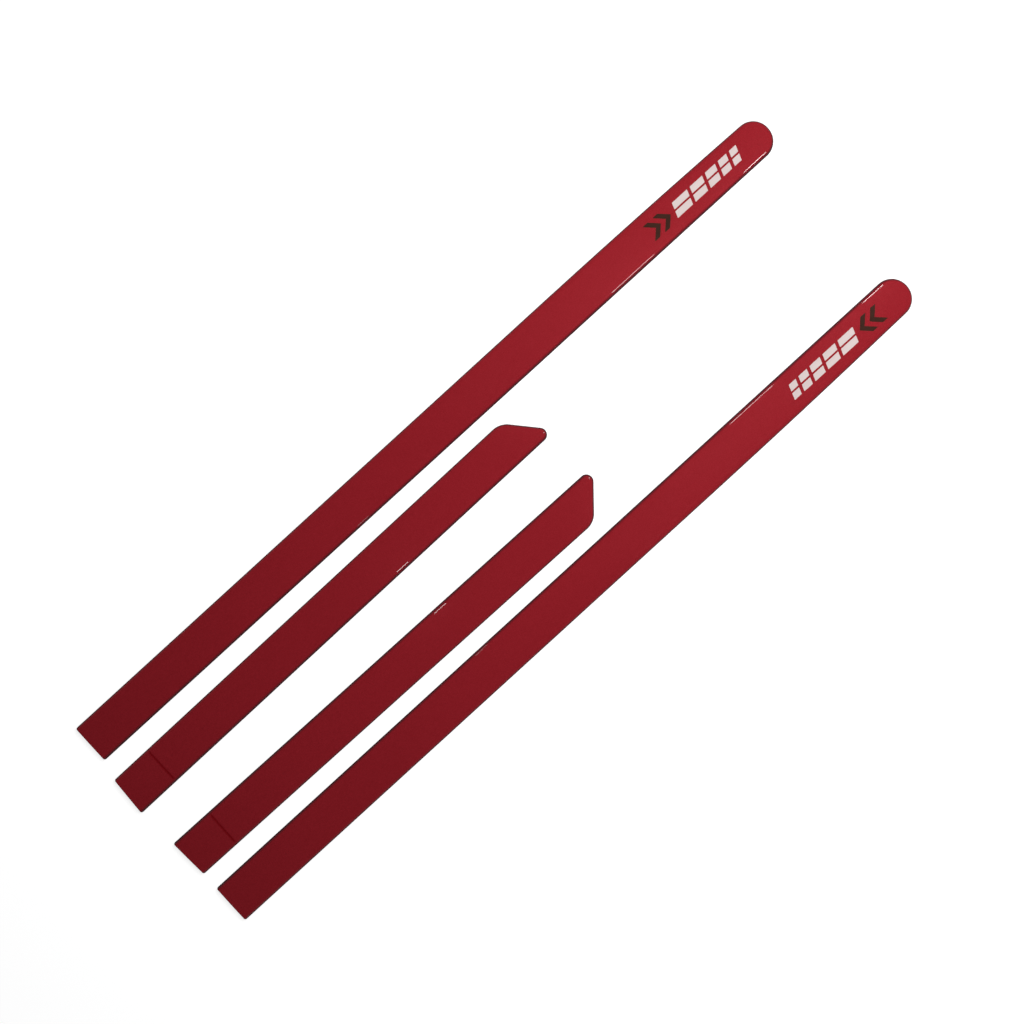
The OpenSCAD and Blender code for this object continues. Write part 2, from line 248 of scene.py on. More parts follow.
def skin_section():
    """The skin's section from the rim up: how far each ring lies in from the long edges, how far in from
    the square end, and how high. The shoulder is a quarter round along the edges and a narrower round at
    the end."""
    turn = np.linspace(0, SHOULDER_TURN, SHOULDER_STEPS + 1)[1:]
    inset = np.concatenate([[WALL, FOOT_BEVEL, 0, 0], SHOULDER_R * (1 - np.cos(turn))])
    end_round = END_EDGE * (1 - np.cos(turn)) / (1 - np.cos(SHOULDER_TURN))
    end_inset = np.concatenate([[WALL, END_BEVEL, 0, 0], end_round])
    rise = SHOULDER_Z + SHOULDER_R * np.sin(turn)
    height = np.concatenate([[RIM_Z, RIM_Z, RIM_Z + FOOT_BEVEL, SHOULDER_Z], rise])
    return inset, end_inset, height


def middle_line(form, edge_in, edge_out):
    """The line that the crown's rings close onto: halfway between the two edges, held back from the tip,
    and drawn away from the square end with the square of how near it is."""
    middle = (edge_in + edge_out) / 2
    middle[:, 0] = np.minimum(middle[:, 0], form.spine_end)
    last = middle[:, 0] >= form.spine_end
    middle[last, 1] = middle[~last, 1][-1] if form.front else 0
    near = np.clip(1 - middle[:, 0] / SQUARE_REACH, 0, 1)
    middle[:, 0] += (HALF - SHOULDER_R) * near**2
    middle[: len(ARC)] = middle[0]
    return middle


def back_grid(form, rim_in, rim_out):
    """The back as a grid: a line across for every place along the rim, with points at the feet and edges of
    the lands. Its height is the rim's at the border, and the land's, rib's or ceiling's inside."""
    low, high = rim_in[:, 1], rim_out[:, 1]
    gap = np.minimum(DRAFT, (high - low) / 4)
    edges = np.array([-LAND_OUT - DRAFT, -LAND_OUT, -LAND_IN, -LAND_IN + DRAFT])
    wanted = np.concatenate([edges, [0.0], -edges[::-1]])
    inner_foot, outer_foot = (low + gap)[:, None], (high - gap)[:, None]
    lines = np.clip(wanted[None], inner_foot, outer_foot)
    y = np.concatenate([low[:, None], inner_foot, lines, outer_foot, high[:, None]], axis=1)
    y[0] = y[-1] = 0
    across_share = (y - low[:, None]) / (high - low)[:, None]
    across_share[[0, -1]] = np.linspace(0, 1, ACROSS)
    field = rim_in[:, None] + (rim_out - rim_in)[:, None] * across_share[..., None]
    fx, fy = field[..., 0], np.abs(field[..., 1])
    slack = DRAFT / 3
    rib = (np.abs(fx[..., None] - form.ribs) < RIB_T / 2 + slack).any(axis=-1)
    land = (fy > LAND_IN - slack) & (fy < LAND_OUT + slack)
    if form.front:
        land |= (fx > NOSE_LAND_X - slack) & (fx < NOSE_LAND_X + NOSE_LAND_W + slack) & (fy < LAND_OUT)
    depth = np.where(land, LAND_Z, np.where(rib, RIB_Z, CEILING_Z))
    depth[:, [0, -1]] = RIM_Z
    depth[[0, -1]] = RIM_Z
    return np.dstack([field, depth])


def cover_grid(form):
    """The whole cover of a strip: the skin's rings, the back's grid, how far each ring lies in from the
    edge, and the number of stations along an edge. The skin's rings are the rim, the foot bevel, the side
    wall, the shoulder, and a crown whose rings close onto the strip's middle line."""
    inset, end_inset, height = skin_section()
    inner, outer = form.rings(inset, end_inset)
    xy = loop(inner, outer, ACROSS)
    around = xy.shape[1]
    stations = inner.shape[1]
    place = np.arange(around)
    last_edge = 2 * stations + ACROSS - 2
    on_end = place >= last_edge
    near_end = on_end | (place < len(ARC)) | ((place >= last_edge - len(ARC)) & ~on_end)
    z = np.repeat(height[:, None], around, axis=1)
    top = crown(form, xy[-1])
    rise = np.clip((height - SHOULDER_Z) / (CROWN_Z - SHOULDER_Z), 0, 1)[:, None]
    z = np.where(on_end[None] & (rise > 0), SHOULDER_Z + (top[None] - SHOULDER_Z) * rise, z)

    middle = middle_line(form, inner[-1], outer[-1])
    target = loop(middle[None], middle[None], ACROSS)[0]
    crown_xy = xy[-1][None] + (target - xy[-1])[None] * CROWN_SHARE[:, None, None]
    share = np.repeat(CROWN_SHARE[:, None], around, axis=1)
    crown_z = np.where(near_end[None], crown(form, crown_xy), crown(form, crown_xy, share))
    skin = np.concatenate([np.dstack([xy, z]), np.dstack([crown_xy, crown_z])])
    inset = np.concatenate([inset, SHOULDER_IN + (HALF - SHOULDER_IN) * CROWN_SHARE])
    return skin, back_grid(form, inner[0], outer[0]), inset, stations


def grid_faces(rows, columns, offset=0, closed=False):
    """Faces between neighbouring rows and columns of a grid of points, turned so that row x column points
    out."""
    r = np.arange(rows - 1)[:, None] * columns + offset
    c = np.arange(columns if closed else columns - 1)[None]
    n = (c + 1) % columns
    return np.stack([r + c, r + n, r + columns + n, r + columns + c], axis=-1).reshape(-1, 4)


def placed(points, strip):
    """Points of a strip's own frame, put where that strip lies: mirrored for a left-hand strip, turned
    about the strip's middle and moved to its place."""
    x, y, turn, hand = PLACES[strip]
    length = FRONT_LEN if strip.startswith("front") else REAR_LEN
    p = points.reshape(-1, 3) * [1, hand, 1] - [length / 2, 0, 0]
    c, s = np.cos(np.radians(turn)), np.sin(np.radians(turn))
    return np.stack([c * p[:, 0] - s * p[:, 1] + x, s * p[:, 0] + c * p[:, 1] + y, p[:, 2]], axis=-1) * MM


# Points nearer than this are one point
MERGE = 0.002


def piece(name, strip, points, faces, materials, body, node, slots=None, marks=None, sharp=32.0):
    """A named mesh from points in a strip's own frame. Coincident points are merged, faces are turned round
    on a left-hand strip, and edges sharper than the given angle stay sharp. slots gives each face its
    material, and marks are values that the points carry."""
    hand = PLACES[strip][3]
    faces = [list(f) if hand > 0 else list(f)[::-1] for f in faces]
    mesh = bpy.data.meshes.new(name)
    mesh.from_pydata(placed(points, strip).tolist(), [], faces)
    for m in materials:
        mesh.materials.append(m)
    if slots is not None:
        mesh.polygons.foreach_set("material_index", np.asarray(slots, dtype=np.int32))
    for mark, values in (marks or {}).items():
        mesh.attributes.new(mark, "FLOAT", "POINT").data.foreach_set("value", values.astype(np.float32))
    work = bmesh.new()
    work.from_mesh(mesh)
    bmesh.ops.remove_doubles(work, verts=work.verts, dist=MERGE * MM)
    bmesh.ops.dissolve_degenerate(work, edges=work.edges, dist=MERGE * MM)
    loose = [v for v in work.verts if not v.link_faces]
    bmesh.ops.delete(work, geom=loose, context="VERTS")
    work.to_mesh(mesh)
    work.free()
    mesh.shade_smooth()
    mesh.set_sharp_from_angle(angle=np.radians(sharp))
    obj = bpy.data.objects.new(name, mesh)
    bpy.context.scene.collection.objects.link(obj)
    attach(obj, body)
    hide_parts(node)
    return obj


# ---------------------------------------------------------------- materials
class Web:
    """Adds nodes to a material, group or world. An input's value is a number, a colour or another node's
    output."""

    def __init__(self, tree):
        self.tree = tree

    def add(self, kind, inputs=None, **settings):
        node = self.tree.nodes.new("ShaderNode" + kind)
        for key, value in settings.items():
            setattr(node, key, value)
        for key, value in (inputs or {}).items():
            self.feed(node.inputs[key], value)
        return node

    def feed(self, socket, value):
        if isinstance(value, bpy.types.NodeSocket):
            self.tree.links.new(value, socket)
        else:
            socket.default_value = value

    def mix(self, factor, a, b):
        """Colour a where factor is 0, and b where it is 1."""
        return self.add("Mix", {0: factor, 6: a, 7: b}, data_type="RGBA").outputs[2]

    def ranged(self, value, low, high, new_low=0.0, new_high=1.0):
        """value, taken from low..high to new_low..new_high, with soft ends."""
        inputs = {0: value, 1: low, 2: high, 3: new_low, 4: new_high}
        return self.add("MapRange", inputs, interpolation_type="SMOOTHSTEP").outputs[0]

    def math(self, operation, a, b=0.0):
        return self.add("Math", {0: a, 1: b}, operation=operation).outputs[0]

    def mark(self, name):
        """A value that the mesh carries at its points."""
        return self.add("Attribute", attribute_name=name).outputs["Fac"]

    def bump(self, into, height, strength, distance):
        """Fine relief on a shader, with its distance in millimetres."""
        inputs = {"Strength": strength, "Distance": distance * MM, "Height": height}
        self.feed(into["Normal"], self.add("Bump", inputs).outputs[0])

    def group(self, tree, inputs):
        node = self.add("Group")
        node.node_tree = tree
        for key, value in inputs.items():
            self.feed(node.inputs[key], value)
        return node


def new_group(name, inputs, outputs):
    """An empty node group with float inputs (name: value) and outputs (name: socket type). Gives the group,
    its web, what it is given and what it puts out."""
    tree = bpy.data.node_groups.new(name, "ShaderNodeTree")
    for key, value in inputs.items():
        tree.interface.new_socket(key, in_out="INPUT", socket_type="NodeSocketFloat").default_value = value
    for key, kind in outputs.items():
        tree.interface.new_socket(key, in_out="OUTPUT", socket_type=kind)
    web = Web(tree)
    return tree, web, tree.nodes.new("NodeGroupInput").outputs, tree.nodes.new("NodeGroupOutput").inputs


def speckle_group():
    """Small cells with a value each, such as paint flakes or foam cells: Shade is the cell's value, Height
    its rounded relief. Size is the cell's width in millimetres."""
    outputs = {"Shade": "NodeSocketFloat", "Height": "NodeSocketFloat"}
    tree, web, given, out = new_group("speckle", {"Size": 0.3}, outputs)
    scale = web.math("DIVIDE", 1 / MM, given["Size"])
    place = web.add("TexCoord").outputs["Object"]
    cells = web.add("TexVoronoi", {"Vector": place, "Scale": scale}, feature="F1")
    web.feed(out["Shade"], web.add("SeparateColor", {0: cells.outputs["Color"]}).outputs[0])
    web.feed(out["Height"], cells.outputs["Distance"])
    return tree


def drift_group():
    """Slow, uneven variation over a surface, such as spray build or handling haze: Amount runs from 0 to 1.
    Size is the width of a patch in millimetres, and Stretch how many times longer than wide it is along the
    strip."""
    given_names = {"Size": 60.0, "Stretch": 1.0}
    tree, web, given, out = new_group("drift", given_names, {"Amount": "NodeSocketFloat"})
    place = web.add("TexCoord").outputs["Object"]
    along = web.math("DIVIDE", 1.0, given["Stretch"])
    squeeze = web.add("CombineXYZ", {0: along, 1: 1.0, 2: 1.0}).outputs[0]
    vector = web.add("VectorMath", {0: place, 1: squeeze}, operation="MULTIPLY").outputs[0]
    scale = web.math("DIVIDE", 1 / MM, given["Size"])
    inputs = {"Vector": vector, "Scale": scale, "Detail": 3.0, "Roughness": 0.55}
    web.feed(out["Amount"], web.ranged(web.add("TexNoise", inputs).outputs[0], 0.3, 0.7))
    return tree


def material(name, base, settings):
    """A material whose shader has its plain numbers on its own sockets. Gives the material, its web and
    shader."""
    made = bpy.data.materials.new(name)
    made.use_nodes = True
    made.diffuse_color = base
    shader = made.node_tree.nodes["Principled BSDF"]
    for key, value in settings.items():
        shader.inputs[key].default_value = value
    return made, Web(made.node_tree), shader.inputs


SPECKLE, DRIFT = speckle_group(), drift_group()
# The second red is the painted shade of the shoulders, with the paint's build-up; the third is the seam's
# darker paint
RED, BUILD_AND_SHADE_RED, SEAM_RED = (0.300, 0.0100, 0.0165), (0.050, 0.0022, 0.0060, 1), (0.215, 0.0012, 0.0045, 1)


def scaled(colour, *shares):
    """A colour with its three parts scaled by the given shares, or all by one share."""
    return [*(np.array(colour) * shares).tolist(), 1.0]


def paint():
    """Clear-coated candy red with fine flakes. It is painted darker towards the long shoulders, as painted
    shade of the shoulders together with the paint's build-up there, and darker at the seam."""
    settings = {"Coat Weight": 1.0, "Coat Roughness": 0.03, "Coat IOR": 1.5, "Metallic": 0.05, "IOR": 1.45,
                "Specular IOR Level": 0.05}
    made, web, into = material("candy_red_paint", scaled(RED, 1.0), settings)
    flakes = web.group(SPECKLE, {"Size": 0.28}).outputs
    cloud = web.group(DRIFT, {"Size": 70.0, "Stretch": 3.0}).outputs["Amount"]
    fine = web.group(DRIFT, {"Size": 9.0, "Stretch": 1.0}).outputs["Amount"]
    flake = web.ranged(flakes["Shade"], 0.0, 1.0)
    sparkle = web.mix(flake, scaled(RED, 0.84), scaled(RED, 1.18, 1.7, 1.6))
    patch = web.mix(web.math("MULTIPLY", cloud, 0.10), sparkle, scaled(RED, 0.7))
    # Painted shade: the red darkens towards the long shoulders, widest along the inner edge, standing in
    # for their shade, with the paint's build-up
    built_and_shaded = web.mix(web.mark("build_and_edge_shade"), patch, BUILD_AND_SHADE_RED)
    web.feed(into["Base Color"], web.mix(web.mark("seam_line"), built_and_shaded, SEAM_RED))
    uneven = web.math("ADD", web.math("MULTIPLY", fine, 0.5), cloud)
    web.feed(into["Roughness"], web.ranged(uneven, 0.0, 1.5, 0.40, 0.52))
    web.bump(into, flakes["Shade"], 0.05, 0.1)
    return made


def bare_plastic():
    """Matt black moulded plastic with a fine grain, dusted with red overspray near the rim."""
    made, web, into = material("black_moulded_plastic", (0.02, 0.02, 0.022, 1), {"IOR": 1.5})
    grain = web.group(SPECKLE, {"Size": 0.5}).outputs
    haze = web.group(DRIFT, {"Size": 25.0, "Stretch": 4.0}).outputs["Amount"]
    dust = web.group(SPECKLE, {"Size": 0.22}).outputs
    black = web.mix(haze, (0.014, 0.014, 0.016, 1), (0.026, 0.026, 0.029, 1))
    fleck = web.math("LESS_THAN", dust["Shade"], web.mark("overspray"))
    web.feed(into["Base Color"], web.mix(fleck, black, (0.16, 0.006, 0.010, 1)))
    web.feed(into["Roughness"], web.ranged(haze, 0.0, 1.0, 0.42, 0.6))
    web.bump(into, grain["Height"], 0.35, 0.06)
    return made


def foam():
    """Dark acrylic foam: small closed cells, paler where a cell is cut open, with a faint adhesive
    sheen."""
    made, web, into = material("foam_tape", (0.045, 0.045, 0.05, 1), {"IOR": 1.45})
    cells = web.group(SPECKLE, {"Size": 0.28}).outputs
    pores = web.group(SPECKLE, {"Size": 0.7}).outputs
    drift = web.group(DRIFT, {"Size": 18.0, "Stretch": 3.0}).outputs["Amount"]
    tone = web.mix(cells["Shade"], (0.030, 0.030, 0.034, 1), (0.072, 0.072, 0.078, 1))
    web.feed(into["Base Color"], web.mix(web.math("MULTIPLY", drift, 0.35), tone, (0.022, 0.022, 0.026, 1)))
    web.feed(into["Roughness"], web.ranged(drift, 0.0, 1.0, 0.55, 0.8))
    height = web.math("ADD", cells["Height"], web.math("MULTIPLY", pores["Height"], 0.8))
    web.bump(into, height, 0.6, 0.12)
    return made


def film():
    """Thin red release film: smooth, with soft handling ripples and a faint haze."""
    made, web, into = material("release_film", (0.55, 0.035, 0.04, 1), {"IOR": 1.5, "Coat Weight": 0.15})
    ripple = web.group(DRIFT, {"Size": 7.0, "Stretch": 0.6}).outputs["Amount"]
    haze = web.group(DRIFT, {"Size": 40.0, "Stretch": 5.0}).outputs["Amount"]
    web.feed(into["Base Color"], web.mix(haze, (0.50, 0.030, 0.036, 1), (0.62, 0.050, 0.055, 1)))
    web.feed(into["Roughness"], web.ranged(ripple, 0.0, 1.0, 0.22, 0.38))
    web.bump(into, ripple, 0.25, 0.2)
    return made


def vinyl(name, tone, worn):
    """Cut vinyl film: almost even, with a soft calender grain and slight fading in patches."""
    made, web, into = material(name, tone, {"IOR": 1.48, "Specular IOR Level": 0.12})
    grain = web.group(SPECKLE, {"Size": 0.4}).outputs
    fade = web.group(DRIFT, {"Size": 14.0, "Stretch": 2.0}).outputs["Amount"]
    web.feed(into["Base Color"], web.mix(web.math("MULTIPLY", fade, 0.6), tone, worn))
    web.feed(into["Roughness"], web.ranged(fade, 0.0, 1.0, 0.36, 0.48))
    web.bump(into, grain["Height"], 0.12, 0.03)
    return made


PAINT, PLASTIC, FOAM, FILM = paint(), bare_plastic(), foam(), film()
DARK_VINYL = vinyl("dark_vinyl", (0.034, 0.0095, 0.0045, 1), (0.046, 0.014, 0.008, 1))
LIGHT_VINYL = vinyl("light_vinyl", (0.665, 0.560, 0.545, 1), (0.600, 0.500, 0.485, 1))


# ---------------------------------------------------------------- covers
# Width of the painted shade (darker paint, with its build-up) along the inner edge, the outer edge and the
# tip; its share on the side walls
INNER_SHADE, OUTER_SHADE, TIP_SHADE, WALL_BUILD_AND_SHADE = 3.6, 1.9, 2.4, 0.35
WALL_RINGS = 4
# Seam: depth and half width of the groove, half width of the darker paint, and how far in from the edge
# each begins and is full
SEAM_DEPTH, SEAM_WIDTH, SEAM_SHADE = 0.16, 0.35, 1.3
GROOVE_FROM, GROOVE_FULL, SHADE_FROM, SHADE_FULL = 0.5, 2.5, 2.0, 5.0
# Overspray on the rim's inner and outer line, and behind on the rim, the lands and the rest
SPRAY_INNER, SPRAY_OUTER, SPRAY_RIM, SPRAY_LAND, SPRAY_REST = 0.55, 0.9, 0.55, 0.06, 0.02


def build_and_edge_shade(form, inset, stations):
    """How dark the paint is at each point of the skin, as painted shade of the shoulders together with the
    paint's build-up: a smooth fall from 1 at the edge to 0 at that edge's own reach, fading out round the
    square end's corners and less on the side walls."""
    tip = len(form.tip_share)
    reach_in = np.full(stations, INNER_SHADE)
    reach_in[-tip:] = INNER_SHADE + (TIP_SHADE - INNER_SHADE) * form.tip_share
    reach_out = np.full(stations, OUTER_SHADE)
    reach_out[-tip:] = OUTER_SHADE + (TIP_SHADE - OUTER_SHADE) * form.tip_share
    strength = np.ones(stations)
    strength[: len(ARC)] = ARC
    between = ACROSS - 2
    reach = np.concatenate([reach_in, np.full(between, TIP_SHADE), reach_out[::-1], np.ones(between)])
    power = np.concatenate([strength, np.ones(between), strength[::-1], np.zeros(between)])
    away = np.clip(inset[:, None] / reach[None], 0, 1)
    build_and_shade = power[None] * (1 - away**2 * (3 - 2 * away))
    build_and_shade[:WALL_RINGS] *= WALL_BUILD_AND_SHADE
    return build_and_shade


def cut_seam(skin, inset):
    """Sinks the seam's shallow groove into a rear strip's skin, as a bell curve along the strip that fades
    out towards the shoulders. Gives the share of seam-dark paint at each point, a wider bell curve."""
    off = skin[..., 0] - SEAM_X
    groove = np.clip((inset[:, None] - GROOVE_FROM) / (GROOVE_FULL - GROOVE_FROM), 0, 1)
    shade = np.clip((inset[:, None] - SHADE_FROM) / (SHADE_FULL - SHADE_FROM), 0, 1)
    skin[..., 2] -= SEAM_DEPTH * np.exp(-((off / SEAM_WIDTH) ** 2)) * groove
    return np.exp(-((off / SEAM_SHADE) ** 2)) * shade


def seam_face(form, skin, back, stations):
    """The closed end of a section at the seam: one face along the back's line there, and up and over the
    skin."""
    rows, around = skin.shape[:2]
    cut = len(ARC) + int(np.searchsorted(form.inner_x, SEAM_X))
    base = rows * around + cut * back.shape[1] + np.arange(back.shape[1])
    up = np.arange(1, rows) * around + 2 * stations + ACROSS - 3 - cut
    down = np.arange(rows - 1, 0, -1) * around + cut
    return np.concatenate([base, up, down[1:]])


def cover_pieces(strip, splits):
    """The cover of a strip, or its sections. splits maps each piece's name to its reach along the strip; a
    piece that stops at the seam is closed there by its own section."""
    form = Form("front" if strip.startswith("front") else "rear")
    skin, back, inset, stations = cover_grid(form)
    rows, around = skin.shape[:2]
    seam = np.zeros((rows, around)) if form.front else cut_seam(skin, inset)
    spray = np.zeros((rows, around))
    spray[:2] = [[SPRAY_INNER], [SPRAY_OUTER]]
    depth = back[..., 2]
    back_spray = np.where(depth <= RIM_Z, SPRAY_RIM, np.where(depth <= LAND_Z, SPRAY_LAND, SPRAY_REST))
    none = np.zeros(depth.size)
    marks = {
        # Painted shade of the shoulders, with the paint's build-up, carried by the points
        "build_and_edge_shade": np.append(build_and_edge_shade(form, inset, stations), none),
        "seam_line": np.append(seam, none),
        "overspray": np.append(spray, back_spray),
    }

    points = np.concatenate([skin.reshape(-1, 3), back.reshape(-1, 3)])
    skin_faces = grid_faces(rows, around, closed=True)
    back_faces = grid_faces(back.shape[0], back.shape[1], offset=rows * around)[:, ::-1]
    faces = np.concatenate([skin_faces, back_faces])
    bare = np.concatenate([np.arange(len(skin_faces)) < around, np.ones(len(back_faces), bool)])
    middle_x = points[faces][..., 0].mean(axis=1)
    for name, (low, high) in splits.items():
        chosen = (middle_x > low) & (middle_x < high)
        some, slots = faces[chosen].tolist(), bare[chosen].astype(int).tolist()
        if len(splits) > 1:
            section = seam_face(form, skin, back, stations)
            some.append((section if high == SEAM_X else section[::-1]).tolist())
            slots.append(1)
        piece(name.replace(strip, strip + "_moulded"), strip, points, some, [PAINT, PLASTIC],
              strip, name, slots, marks)


# ---------------------------------------------------------------- flat strips: tapes, liners, plates
# Corner radii of a cut piece, a pull tab and a splice plate; how far a tape's edge is crushed at its faces,
# and its side drawn in and bulged out; the round on a liner's and on a plate's edge
CUT_CORNER, TAB_R, PLATE_R = 0.3, 3.0, 1.0
TAPE_CRUSH, TAPE_DRAW, TAPE_BULGE = 0.10, 0.02, 0.08
LINER_ROUND, PLATE_ROUND = 0.03, 0.35


def slab(name, strip, x, y, radii, profile, made, body):
    """A long flat piece: its plan is a rectangle whose corners at the low and high x end have their own
    radii, and it is stacked from rings of the given (inset, height)."""
    inset, z = np.array(profile, float).T
    low, high = (180.0, -x[0] - inset), (0.0, x[1] - inset)
    near, far = (270.0, -y[0] - inset), (90.0, y[1] - inset)
    r0, r1 = np.maximum(radii[0] - inset, 0.05), np.maximum(radii[1] - inset, 0.05)
    steps = [corner(low, near, r0, ARC), corner((-90.0, near[1]), high, r1, ARC),
             corner(high, far, r1, ARC), corner(far, low, r0, ARC)]
    ring = np.concatenate(steps, axis=1)
    rows, around = ring.shape[:2]
    points = np.dstack([ring, np.repeat(z[:, None], around, axis=1)]).reshape(-1, 3)
    faces = grid_faces(rows, around, closed=True).tolist()
    faces.append(list(range(around))[::-1])
    faces.append((np.arange(around) + (rows - 1) * around).tolist())
    title = name.replace(strip, strip + "_fitted")
    piece(title, strip, points, faces, [made], body, name, sharp=40.0)


def tape_profile():
    """Die-cut foam: crisp cut edges, and sides that bulge a little under the load as a parabola."""
    s = np.linspace(-1, 1, 9)[1:-1]
    z = (LINER_T + LAND_Z) / 2 + s * TAPE_T / 2
    sides = list(zip(TAPE_DRAW - TAPE_BULGE * (1 - s**2), z))
    return [(TAPE_CRUSH, LINER_T)] + sides + [(TAPE_CRUSH, LAND_Z)]


def film_profile():
    """Thin film with its cut edges just broken."""
    return [(LINER_ROUND, 0.0), (0.0, LINER_ROUND), (0.0, LINER_T - LINER_ROUND), (LINER_ROUND, LINER_T)]


def plate_profile(low, high):
    """A moulded plate with quarter-round edges, below and above."""
    a = np.radians(np.linspace(0, 90, 6))
    under = np.stack([PLATE_ROUND * (1 - np.sin(a)), low + PLATE_ROUND * (1 - np.cos(a))], axis=-1)
    over = under[::-1] * [1, -1] + [0, low + high]
    return np.concatenate([under, over])


def tape_end(side):
    """Where a rear tape ends: square, its outer corner just short of the slanted wall."""
    edge, slant = side * TAPE_Y + TAPE_W / 2, np.radians(SLANT)
    return SHARP_X - (edge + HALF) / np.tan(slant) - (WALL + SLANT_GAP) / np.sin(slant)


def taped(strip, word, tape_x, tab, y):
    """A foam tape and its liner. tab is how far the liner's pull tab runs past the tape, below or above in
    x."""
    square = (CUT_CORNER, CUT_CORNER)
    slab(f"{strip}_tape_{word}", strip, tape_x, y, square, tape_profile(), FOAM, strip)
    x = (tape_x[0] - tab[0], tape_x[1] + tab[1])
    radii = [TAB_R if length > 0 else CUT_CORNER for length in tab]
    name = f"{strip}_liner_{word}"
    slab(name, strip, x, y, radii, film_profile(), FILM, name)


def back_pieces(strip):
    """Foam tapes and their liners, and a rear strip's splice plate."""
    front = strip.startswith("front")
    for side, word in ((1, "outer"), (-1, "inner")):
        end = FRONT_TAPE_END if front else tape_end(side)
        y = (side * TAPE_Y - TAPE_W / 2, side * TAPE_Y + TAPE_W / 2)
        taped(strip, word, (TAPE_INSET, end), (TAB_LEN, 0), y)
    if front:
        y = (NOSE_TAPE_Y - TAPE_Y, NOSE_TAPE_Y + TAPE_Y)
        taped(strip, "nose", (NOSE_TAPE_X, NOSE_TAPE_X + NOSE_TAPE_W), (0, NOSE_TAB), y)
    else:
        x = (SEAM_X - SPLICE_LEN / 2, SEAM_X + SPLICE_LEN / 2)
        y = (SPLICE_GAP - LAND_IN, LAND_IN - SPLICE_GAP)
        profile = plate_profile(CEILING_Z - SPLICE_T, CEILING_Z)
        name = f"{strip}_splice_plate"
        slab(name, strip, x, y, (PLATE_R, PLATE_R), profile, PLASTIC, strip)


# ---------------------------------------------------------------- decals
DECAL_T, DECAL_SUNK, DECAL_INSET = 0.12, 0.01, 38.0
DARK_LEN, DARK_H, CHEVRON_PITCH = 31.0, 20.0, 14.0
LIGHT_LEN, LIGHT_H, PART_GAP, SLIT_H = 96.0, 16.0, 3.0, 2.0
BARS, BAR_GAP, BAR_RATIO, BAR_LEAN = 5, 4.0, 0.82, 20.0
GRAPHIC_LEN = DARK_LEN + PART_GAP + LIGHT_LEN
CUT_R = 0.45


def stroke(form, left, width, low, high, lean, flip):
    """A cut stroke of film lying on the painted face. It runs across the strip from low to high; its left
    edge is left + lean(y), and its cut corners are quarter rounds that draw both edges in near the two
    ends. Two grids, the top and the underside, are joined by the cut edges."""
    s = np.linspace(0, 1, 6)
    straight = np.linspace(low + CUT_R, high - CUT_R, 9)
    y = np.unique(np.concatenate([low + CUT_R * s**2, straight, high - CUT_R * s**2]))
    near = np.clip(CUT_R - np.minimum(y - low, high - y), 0, CUT_R)
    draw_in = CUT_R - np.sqrt(np.maximum(CUT_R**2 - near**2, 0))
    share = np.linspace(0, 1, 7)[None]
    x = (left + lean(y) + draw_in)[:, None] + (width - 2 * draw_in)[:, None] * share
    tip = FRONT_LEN - DECAL_INSET
    x = tip - x if flip else tip - GRAPHIC_LEN + x
    xy = np.dstack([x, np.repeat(y[:, None], share.size, axis=1)])
    z = crown(form, xy)
    rows, columns = z.shape
    top = np.dstack([xy, z + DECAL_T]).reshape(-1, 3)
    under = np.dstack([xy, z - DECAL_SUNK]).reshape(-1, 3)
    up = grid_faces(rows, columns)
    up = up if flip else up[:, ::-1]
    index = np.arange(rows * columns).reshape(rows, columns)
    border = np.concatenate([index[0], index[1:, -1], index[-1, -2::-1], index[-2:0:-1, 0]])
    after = np.roll(border, -1)
    wall = np.stack([border, after, after + rows * columns, border + rows * columns], axis=-1)
    wall = wall if flip else wall[:, ::-1]
    return np.concatenate([top, under]), np.concatenate([up, up[:, ::-1] + rows * columns, wall])


def decal(name, strip, strokes, made):
    """A decal of several strokes, in one mesh."""
    starts = np.cumsum([0] + [len(p) for p, _ in strokes[:-1]])
    points = np.concatenate([p for p, _ in strokes])
    faces = np.concatenate([f + start for (_, f), start in zip(strokes, starts)]).tolist()
    piece(name.replace(strip, strip + "_cut"), strip, points, faces, [made], strip, name)


def decals(strip):
    """Two dark chevrons, then five light leaning bars that narrow and share a slit."""
    form, flip = Form("front"), strip.endswith("left")
    height = DARK_H / 2
    thick = DARK_LEN - CHEVRON_PITCH - height
    chevrons = [stroke(form, n * CHEVRON_PITCH, thick, low, high, lambda y: height - np.abs(y), flip)
                for n in range(2) for low, high in ((-height, 0.0), (0.0, height))]
    decal(f"{strip}_decal_dark", strip, chevrons, DARK_VINYL)
    rise = LIGHT_H * np.tan(np.radians(BAR_LEAN))
    first = (LIGHT_LEN - rise - BAR_GAP * (BARS - 1)) * (1 - BAR_RATIO) / (1 - BAR_RATIO**BARS)
    bars = []
    for i in range(BARS):
        left = DARK_LEN + PART_GAP + BAR_GAP * i + first * (1 - BAR_RATIO**i) / (1 - BAR_RATIO)
        for low, high in ((-LIGHT_H / 2, -SLIT_H / 2), (SLIT_H / 2, LIGHT_H / 2)):
            bars.append(stroke(form, left, first * BAR_RATIO**i, low, high,
                               lambda y: (y + LIGHT_H / 2) * rise / LIGHT_H, flip))
    decal(f"{strip}_decal_light", strip, bars, LIGHT_VINYL)


for strip in PLACES:
    if strip.startswith("front"):
        cover_pieces(strip, {f"{strip}_cover": (-1.0, FRONT_LEN + 1)})
        decals(strip)
    else:
        reach = {f"{strip}_end_section": (-1.0, SEAM_X), f"{strip}_main_section": (SEAM_X, SHARP_X)}
        cover_pieces(strip, reach)
    back_pieces(strip)


